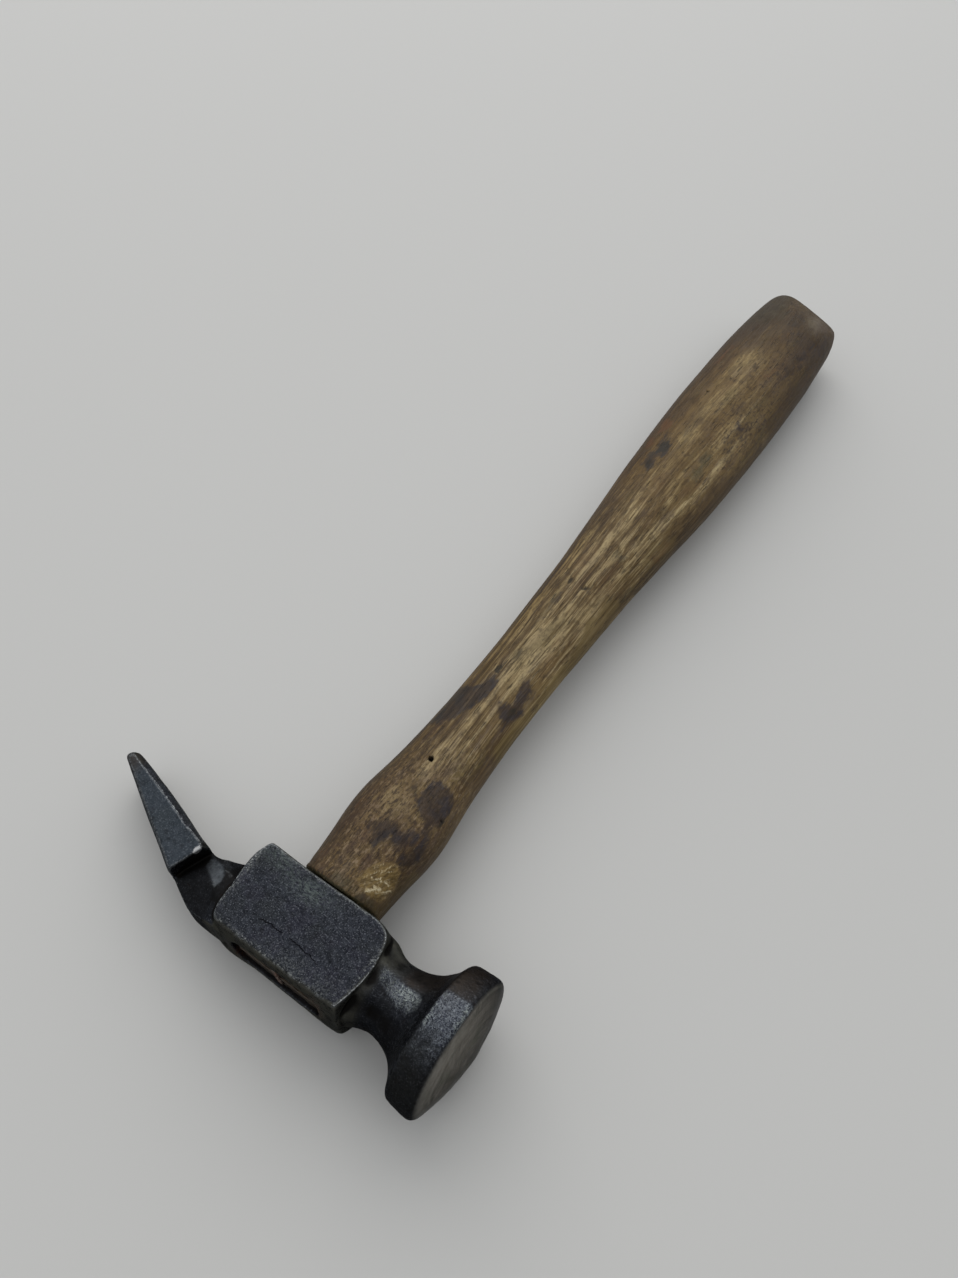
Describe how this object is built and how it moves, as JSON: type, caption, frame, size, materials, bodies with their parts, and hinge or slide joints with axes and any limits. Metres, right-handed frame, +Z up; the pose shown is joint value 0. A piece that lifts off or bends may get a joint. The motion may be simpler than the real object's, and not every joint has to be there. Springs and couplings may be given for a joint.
{
  "type": "london pattern hammer",
  "caption": "Small cobbler's style hammer: forged steel head with a round domed face, rectangular eye block and bent cross peen, wedged on a swelling wooden haft.",
  "frame": {"origin": "centre of the bounding box at its base, on the surface the hammer lies on", "axes": "+Y along the haft from the head to the butt, +X along the head from the peen to the face, +Z up from the surface the hammer lies on"},
  "size_m": [0.104, 0.2677, 0.0319],
  "materials": {
    "head_steel": "dark blued forged steel, satin, finely pitted, arrises worn bright",
    "haft_wood": "old open grained hardwood, hand polished, stained",
    "wedge_wood": "bare hardwood end grain, dirty",
    "wedge_steel": "mild steel, thinly rusted"
  },
  "bodies": {
    "root": {"hammer_head": "head_steel", "haft": "haft_wood", "eye_wedge_wood": "wedge_wood", "cross_wedge_steel": "wedge_steel"}
  },
  "joints": []
}
